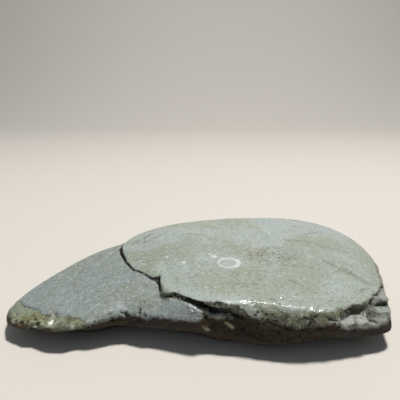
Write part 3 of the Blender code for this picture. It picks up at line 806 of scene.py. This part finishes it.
flake = soft_step(*FLAKE_EDGE, outside_of(points[:, [0, 2]], FLAKE)) * (y < FLAKE_Y)
low_rim = soft_step(*RIM_Z, z) * soft_step(*RIM_UPWARD, up) * (main_way < RIM_INSIDE)
shoulder = window(x, *SMOOTH_X) * (y < FRONT_SIDE) * (z > SMOOTH_Z[0]) * (z < SMOOTH_Z[1])
worn_band = soft_step(*BAND_EDGE, away_from(places, WORN_BAND)[0]) * soft_step(*BAND_INSIDE, main_way)
wet = soft_step(*WET_X, x) * (np.abs(main_way) < WET_REACH)
wet += HALF_WET * (x < LEFT_OF_GAP) + HALF_WET * (x < ON_TAIL)
keep_zones(stone.data, {
    "low_rim": low_rim * (1.0 - FLAKE_CLEAN * flake),
    "tip_rim": soft_step(-55.0, -61.0, y),
    "back": soft_step(-10.0, 50.0, y),
    "left": soft_step(10.0, -45.0, x),
    "steep": soft_step(*STEEP_SIDE, up) * (1.0 - shoulder),
    "wet": wet * soft_step(*WET_Y, y),
    "worn": np.maximum(worn_band, FLAKE_WORN * flake),
})

# %% Lime and dots
# A drop of hard water dried to a ring of lime beside a few splatters: their middle and reach.
RING_MIDDLE, RING_RADIUS, RING_HALF, RING_FILL = (17.3, -26.4), 7.3, 1.6, (7.5, 6.0)
SPLATTERS = (
    ((7.2, -16), 2.6), ((4, -12), 1.2), ((-28.5, -14.5), 1.4), ((57, 34.7), 1.3), ((-15.6, -24.8), 1.8),
)
DOTTED_MIDDLE, DOTTED_REACH = (53.0, -14.0), (24.0, 19.0)
SPLASH_EDGE, DOTTED_EDGE, TOP_UPWARD = (1.3, 0.4), (1.1, 0.4), (0.5, 0.8)

on_top = soft_step(*TOP_UPWARD, up)
from_ring = np.linalg.norm(places - RING_MIDDLE, axis=1)
splatters = [np.linalg.norm(places - np.array(middle), axis=1) / reach for middle, reach in SPLATTERS]
dotted = np.linalg.norm((places - DOTTED_MIDDLE) / DOTTED_REACH, axis=1)
keep_zones(stone.data, {
    "ring_way": np.where(on_top > 0.5, RING_HALF - np.abs(from_ring - RING_RADIUS), FAR_OUTSIDE),
    "splash": on_top * soft_step(*SPLASH_EDGE, np.min(splatters, axis=0)),
    "in_ring": on_top * soft_step(*RING_FILL, from_ring),
    "dotted": on_top * soft_step(*DOTTED_EDGE, dotted),
})

# %% [markdown]
# ## Hollows and worn edges
# Smoothing a copy fills its hollows and wears its edges. How far each point would move outwards by that
# tells how hollow it lies, and there the colour is painted darker, as shade. An edge moves inwards, and is
# worn pale.

# %% Hollows and worn edges
HOLLOW_PASSES = 30
DIRTY_FROM, WORN_FROM, SHOULDER_PLAINER = (0.35, 1.1), (-0.30, -0.9), 0.7

smooth = stone.modifiers.new("smoothed copy", "SMOOTH")
smooth.iterations = HOLLOW_PASSES
graph = bpy.context.evaluated_depsgraph_get()
points, normals = skin_of(stone)
outwards = ((skin_of(stone.evaluated_get(graph))[0] - points) * normals).sum(axis=1)
stone.modifiers.clear()
keep_zones(stone.data, {
    "cavity": soft_step(*DIRTY_FROM, outwards),
    "edge": soft_step(*WORN_FROM, outwards) * (1.0 - SHOULDER_PLAINER * shoulder),
})

# %% [markdown]
# ## The finish: water-worn slate
# Real slate of this kind is chlorite slate. Chlorite is a green mica: it gives the soft grey-green and
# a faint silkiness. Split along its beds it is smooth, so a river leaves it matt when dry and satin when
# wet. A thin film of water is a clear coat over it, and it glints where the front rim turns down.
#
# The colour is built as a painter would: a broad ground first, then the zones over it, then specks, dirt
# and painted shade. Each layer is one row of a table: what it is, its colour, and the zone and noise that
# mask it.

# %% Colours and grain of the slate


def colour(code):
    """An sRGB hex colour as the linear values that a shader takes."""
    parts = [int(code[i:i + 2], 16) / 255.0 for i in (1, 3, 5)]
    linear = [part / 12.92 if part <= 0.04045 else ((part + 0.055) / 1.055) ** 2.4 for part in parts]
    return (*linear, 1.0)


slate.use_nodes = True
tree = slate.node_tree
tree.nodes.clear()
where = add(tree, "ShaderNodeTexCoord").outputs["Object"]

# Each grain: the size of its lumps in mm, detail and roughness, and how it is turned and stretched.
# Real grit is about 0.2 mm, too fine to show here, so it is drawn at about 1 mm.
AS_IT_IS = (0.0, 0.0, 0.0), (1.0, 1.0, 1.0)
GRAINS = {
    "broad": (42.0, 3.0, 0.55, *AS_IT_IS),
    "patchy": (12.0, 5.0, 0.62, *AS_IT_IS),
    "fine": (2.6, 5.0, 0.7, *AS_IT_IS),
    "grit": (1.1, 2.0, 0.7, *AS_IT_IS),
    "streaks": (1.7, 4.0, 0.7, (0.0, 0.0, math.radians(-6.0)), (0.45, 1.3, 1.0)),
    "beds": (4.2, 4.0, 0.6, (0.0, math.radians(5.0), 0.0), (0.25, 0.25, 1.5)),
}
grain = {}
for name, (size, detail, roughness, turn, stretch) in GRAINS.items():
    laid = add(tree, "ShaderNodeMapping", {"Vector": where, "Rotation": turn, "Scale": stretch}).outputs[0]
    grain[name] = add(
        tree, NOISE,
        {"Vector": laid, "Scale": 1.0 / (size * MM), "Detail": detail, "Roughness": roughness},
    ).outputs[0]
DOTS_PER_METRE, DOT_EDGE = 300.0, (0.32, 0.12)
dots = add(tree, "ShaderNodeTexVoronoi", {"Vector": where, "Scale": DOTS_PER_METRE})
grain["dots"] = add(tree, RANGE, (dots.outputs["Distance"], *DOT_EDGE)).outputs[0]
print("grains:", ", ".join(grain))

# %% Zones as the material sees them
# Each border: the kept way to it in mm, the grain that makes it ragged and by how many mm, and from
# where to where the zone sets in.
BORDERS = {
    "tail": ("tail_way", "fine", 1.0, (-0.1, 0.5)),
    "gap": ("gap_shade_way", "fine", 1.6, (-0.1, 0.35)),
    "tip": ("tip_way", "fine", 1.5, (-0.3, 0.3)),
    "corner": ("corner_way", "fine", 1.5, (-0.3, 0.5)),
    "hollow": ("hollow_shade_way", "fine", 3.0, (-0.3, 0.8)),
    "brow": ("brow_shade_way", "fine", 3.0, (-0.2, 0.6)),
    "ring": ("ring_way", "patchy", 6.0, (-0.3, 0.8)),
    # A band just above the dark foot, where the rim is painted darker as shade, and the dark foot itself.
    "near_low": ("stain_and_shade_way", "patchy", 12.0, (-8.0, 0.0)),
    "low": ("stain_and_shade_way", "patchy", 9.0, (-1.8, 1.6)),
}
zone = {
    name: add(tree, "ShaderNodeAttribute", attribute_name=name).outputs["Fac"]
    for name in (
        "steep low_rim tip_rim left back wet worn in_ring splash dotted "
        "crack groove splinter crease chip lump cavity edge"
    ).split()
}
for name, (kept, ragged, by, sets_in) in BORDERS.items():
    way = add(tree, "ShaderNodeAttribute", attribute_name=kept).outputs["Fac"]
    middle = add(tree, MATH, (grain[ragged], by, way), operation="MULTIPLY_ADD")
    wobbled = add(tree, MATH, (middle, 0.5 * by), operation="SUBTRACT")
    zone[name] = add(tree, RANGE, (wobbled, *sets_in), label=name)
for name, opposite in (("slab", "tail"), ("high", "low")):
    zone[name] = add(tree, MATH, (1.0, zone[opposite]), operation="SUBTRACT")
print("zones:", ", ".join(zone))

# %% Layers of colour
# Each layer: its colour, the zones that it lies in, the grain that breaks it up, from where to where
# that grain counts, and how strong the layer is.
LAYERS = (
    ("dull ground", "#929b93", "", "broad", (0.42, 0.62), 0.6),
    ("duller left", "#849186", "left", "broad", (0.10, 0.40), 0.8),
    ("paler back", "#b8c4c8", "back", "broad", (0.10, 0.40), 0.5),
    ("warm cloud", "#9ca391", "", "broad", (0.46, 0.62), 0.5),
    ("warm patches", "#a8a698", "", "patchy", (0.52, 0.70), 0.3),
    ("cool cloud", "#abb7ba", "", "broad", (0.50, 0.36), 0.5),
    ("green tint", "#909c82", "", "patchy", (0.48, 0.32), 0.45),
    # The tail's blue-grey is partly its own tone and partly a painted reflection of the sky.
    ("tail ground", "#899495", "tail", "broad", (0.00, 0.25), 0.95),
    ("tail, greener", "#879288", "tail", "broad", (0.46, 0.60), 0.5),
    ("tail, olive", "#7f8469", "tail", "patchy", (0.54, 0.66), 0.35),
    ("tail, bluer", "#9aa6b0", "tail", "patchy", (0.48, 0.34), 0.45),
    ("tail streaks, dark", "#6b7677", "tail", "streaks", (0.54, 0.68), 0.5),
    ("tail streaks, pale", "#a9b3b3", "tail", "streaks", (0.46, 0.32), 0.4),
    ("worn band", "#a9b7b5", "worn", "fine", (0.30, 0.55), 0.75),
    ("tip ground", "#838e78", "tip", "broad", (0.00, 0.20), 0.95),
    ("tip algae", "#76784e", "tip tip_rim", "patchy", (0.36, 0.56), 0.85),
    ("tip, pale", "#9a9f84", "tip tip_rim", "fine", (0.44, 0.28), 0.6),
    ("tip, dark specks", "#2c2e1e", "tip tip_rim", "fine", (0.54, 0.62), 0.85),
    ("rim ground", "#868a68", "low_rim", "broad", (0.00, 0.20), 0.8),
    ("rim algae", "#838a50", "low_rim", "patchy", (0.46, 0.58), 0.8),
    ("rim, dark", "#2a2b1a", "low_rim", "patchy", (0.48, 0.36), 0.85),
    ("rim, beds", "#24241a", "low_rim", "beds", (0.52, 0.62), 0.75),
    ("rim, pale", "#969a80", "low_rim", "fine", (0.42, 0.30), 0.6),
    # Painted shade: the rim darkens towards the dark foot.
    ("rim, painted shade", "#2d2a16", "near_low low_rim", "patchy", (0.30, 0.50), 0.9),
    ("corner slate", "#979e99", "corner", "fine", (0.15, 0.40), 0.9),
    ("corner, dark", "#596057", "corner", "patchy", (0.52, 0.64), 0.7),
    ("corner, pale", "#b4bab0", "corner", "fine", (0.44, 0.32), 0.6),
    # Painted shade in the corner's hollow and slot, broken by paler patches.
    ("hollow", "#303126", "hollow", "fine", (0.10, 0.35), 0.9),
    ("hollow, paler", "#8d907f", "hollow", "fine", (0.49, 0.60), 0.8),
    # Painted shade under the overhanging brow, with paler patches.
    ("brow", "#35362a", "brow", "fine", (0.10, 0.35), 0.9),
    ("brow, paler", "#4f513e", "brow", "patchy", (0.50, 0.64), 0.6),
    # The dark foot: partly a brown stain, partly painted shade of the undercut underside.
    ("dark foot, stain and shade", "#23180a", "low", "fine", (0.05, 0.30), 0.97),
    ("dark foot, stain and shade, paler", "#4a3512", "low", "patchy", (0.52, 0.68), 0.6),
    ("grain, dark", "#5f675a", "high", "fine", (0.54, 0.68), 0.7),
    ("grain, olive", "#868a6c", "high slab", "streaks", (0.50, 0.62), 0.22),
    ("grain, pale", "#cad2c9", "high", "fine", (0.45, 0.32), 0.7),
    ("grit, dark", "#474e43", "", "grit", (0.56, 0.69), 0.55),
    ("grit, pale", "#ccd3ca", "high", "grit", (0.43, 0.30), 0.5),
    # Painted shade: the grooves are painted darker than the top around them.
    ("grooves", "#646c5f", "groove", "fine", (0.25, 0.55), 0.6),
    ("dark patch", "#75765f", "dotted", "patchy", (0.46, 0.60), 0.4),
    ("dark dots", "#454431", "dotted", "fine", (0.53, 0.62), 0.75),
    ("rusty dots", "#8f6b4c", "dotted", "dots", (0.30, 0.90), 0.35),
    ("lime in the ring", "#b4bec0", "in_ring", "fine", (0.30, 0.60), 0.6),
    ("lime ring", "#dbe2e0", "ring", "fine", (0.30, 0.55), 0.85),
    ("lime splash", "#e0e5e3", "splash", "fine", (0.35, 0.50), 0.8),
    ("worn edges", "#aab1a6", "edge high", "fine", (0.30, 0.55), 0.5),
    # Painted shade in hollows, where the smoothed copy lies outside the skin.
    ("painted shade in hollows", "#23241b", "cavity", "fine", (0.20, 0.50), 0.8),
    ("creases", "#1a1a10", "crease high", "fine", (0.10, 0.40), 0.8),
    ("cracks", "#191a13", "crack", "broad", (0.00, 0.15), 0.9),
    # Painted shade: the open crack is painted black where its shade falls.
    ("gap", "#090a07", "gap", "broad", (0.00, 0.10), 1.0),
    ("lump in the gap", "#4e5748", "lump", "fine", (0.10, 0.35), 0.95),
    ("splinters", "#a3aa9b", "splinter", "fine", (0.10, 0.30), 1.0),
    ("chips", "#868a6e", "chip", "fine", (0.20, 0.40), 0.9),
)
SLATE_GROUND = "#a1ada7"
shown = add(tree, "ShaderNodeRGB")
shown.outputs[0].default_value = colour(SLATE_GROUND)
for label, code, zones, broken_by, counts, strength in LAYERS:
    mask = add(
        tree, RANGE, (grain[broken_by], *counts, 0.0, strength),
        interpolation_type="SMOOTHSTEP", label=label,
    )
    for inside in zones.split():
        mask = add(tree, MATH, (mask, zone[inside]), operation="MULTIPLY")
    shown = add(
        tree, MIX, {"Factor": mask, 6: shown, 7: colour(code)}, data_type="RGBA",
    ).outputs[2]
print("layers of colour:", len(LAYERS))

# %% [markdown]
# ## Roughness, relief and the film of water
# Damp slate is satin, and the dark foot is dry and quite matt. The film of water isn't even: it is
# thin on the flat top and thick along the front edge, where it fills the fine relief. A clear coat is
# made for that, because it can have a smoother bump of its own than the stone under it.

# %% Roughness, relief and the film of water
# How rough the stone is, from patch to patch, and at its dry foot. How thick the film is on the flat
# top, and at the wet front edge.
PATCHES, STONE_ROUGH, FOOT_ROUGH = (0.3, 0.7), (0.42, 0.62), 0.9
FILM_PATCHES, FILM_TOP, WET_SPOTS, WET_LEAST = (0.35, 0.6), 0.3, (0.46, 0.54), 0.15
STONE_IOR, WATER_IOR, WATER_ROUGH, RELIEF_SHARE = 1.5, 1.33, 0.08, 0.8

dry = add(tree, RANGE, (grain["patchy"], *PATCHES, *STONE_ROUGH))
rough_there = add(tree, MIX, {"Factor": zone["low"], 2: dry, 3: FOOT_ROUGH})
film = add(tree, RANGE, (grain["patchy"], *FILM_PATCHES, 0.0, FILM_TOP))
wet_edge = add(tree, RANGE, (grain["fine"], *WET_SPOTS, WET_LEAST))
for name, weight in (
    ("steep", 0.5), ("wet", wet_edge), ("low", 0.0), ("hollow", 0.3), ("brow", 0.1), ("gap", 0.0),
):
    film = add(tree, MIX, {"Factor": zone[name], 2: film, 3: weight})

# Relief too fine for the mesh: how high each grain stands, in mm, on the stone and on the film.
RELIEF = {
    "stone": (("patchy", 0.45), ("fine", 0.34), ("grit", 0.10), ("streaks", 0.14)),
    "film": (("patchy", 0.55), ("fine", 0.16)),
}
bump = {}
for skin_name, grains in RELIEF.items():
    height = 0.0
    for name, size in grains:
        height = add(tree, MATH, (grain[name], size * MM, height), operation="MULTIPLY_ADD")
    bump[skin_name] = add(
        tree, "ShaderNodeBump", {"Height": height, "Distance": 1.0, "Strength": RELIEF_SHARE},
    )

shader = add(tree, "ShaderNodeBsdfPrincipled", {
    "Base Color": shown,
    "Roughness": rough_there,
    "Normal": bump["stone"],
    "IOR": STONE_IOR,
    "Coat Weight": film,
    "Coat Roughness": WATER_ROUGH,
    "Coat IOR": WATER_IOR,
    "Coat Normal": bump["film"],
})
add(tree, "ShaderNodeOutputMaterial", {"Surface": shader})
print("material nodes:", len(tree.nodes))

# %% [markdown]
# ## A plain bed
# The stone lies on a bed that is quite flat, and thousands of small squares in one plane show nothing.
# Dissolving the edges between them leaves one large outline, which is then cut into triangles.

# %% A plain bed
IN_ONE_PLANE = math.radians(1.0)

faces = bmesh.new()
faces.from_mesh(stone.data)
bed_edges = [edge for edge in faces.edges if all(point.co.z == 0.0 for point in edge.verts)]
bed_points = list({point for edge in bed_edges for point in edge.verts})
bmesh.ops.dissolve_limit(
    faces, angle_limit=IN_ONE_PLANE, use_dissolve_boundaries=False, verts=bed_points, edges=bed_edges,
    delimit=set(),
)
bmesh.ops.triangulate(faces, faces=faces.faces)
faces.to_mesh(stone.data)
faces.free()
stone.data.shade_smooth()
print("triangles:", len(stone.data.polygons))

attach(stone, "root")
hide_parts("stone")

# %% [markdown]
# ## Floor, light and camera
# A pale sweep is the plainest studio: a floor that curves up into its own back wall, with no line
# between them. One lamp hangs nearly overhead, a little to the right, and a large weak one in front opens
# the shadows.

# %% Floor
FLOOR_HALF, BEND_START, BEND_RADIUS, WALL_TOP = 4.0, 1.2, 0.9, 3.5
BEND_STEPS = 24
PAPER, PAPER_ROUGH = "#d9d6d0", 0.9

profile = [(-FLOOR_HALF, 0.0)]
for step in range(BEND_STEPS + 1):
    turn = math.pi / 2.0 * step / BEND_STEPS
    profile.append((BEND_START + BEND_RADIUS * math.sin(turn), BEND_RADIUS * (1.0 - math.cos(turn))))
profile.append((BEND_START + BEND_RADIUS, WALL_TOP))
sweep = bmesh.new()
rows = [[sweep.verts.new((x, y, z)) for y, z in profile] for x in (-FLOOR_HALF, FLOOR_HALF)]
for a, b, c, d in zip(rows[0][:-1], rows[1][:-1], rows[1][1:], rows[0][1:]):
    sweep.faces.new((a, b, c, d)).smooth = True
floor_mesh = bpy.data.meshes.new("floor")
sweep.to_mesh(floor_mesh)
sweep.free()
floor = new_object("floor", floor_mesh)
paper = bpy.data.materials.new("matt_paper")
paper.use_nodes = True
paper_shader = paper.node_tree.nodes["Principled BSDF"].inputs
paper_shader["Base Color"].default_value = colour(PAPER)
paper_shader["Roughness"].default_value = PAPER_ROUGH
floor_mesh.materials.append(paper)
print("floor faces:", len(floor_mesh.polygons))

# %% Light and camera
# Each lamp: where it hangs, its size in metres, its power in watts and its colour.
LAMPS = {
    "overhead lamp": ((0.32, 0.12, 2.20), 0.34, 50.0, "#fffaf4"),
    "front lamp": ((-1.2, -1.6, 1.4), 1.4, 2.0, "#eef4ff"),
}
SKY, SKY_STRENGTH = "#dfe6ee", 0.17
SENSOR, LENS = 36.0, 36.0
CAMERA_AT, CAMERA_DOWN = (-3.56 * MM, -294.81 * MM, 165.0 * MM), math.radians(16.2)

for name, (spot, size, power, code) in LAMPS.items():
    lamp = bpy.data.lights.new(name, "AREA")
    lamp.shape = "DISK"
    lamp.size = size
    lamp.energy = power
    lamp.color = colour(code)[:3]
    hung = new_object(name, lamp)
    hung.location = spot
    hung.rotation_euler = (-Vector(spot)).to_track_quat("-Z", "Y").to_euler()

world = bpy.data.worlds.new("studio")
world.use_nodes = True
world.node_tree.nodes["Background"].inputs["Color"].default_value = colour(SKY)
world.node_tree.nodes["Background"].inputs["Strength"].default_value = SKY_STRENGTH
bpy.context.scene.world = world
bpy.context.scene.view_settings.view_transform = "Standard"

view = bpy.data.cameras.new("camera")
view.sensor_width = SENSOR
view.lens = LENS
camera = new_object("camera", view)
camera.location = CAMERA_AT
camera.rotation_euler = (math.pi / 2.0 - CAMERA_DOWN, 0.0, 0.0)
bpy.context.scene.camera = camera
print("lamps:", ", ".join(LAMPS))
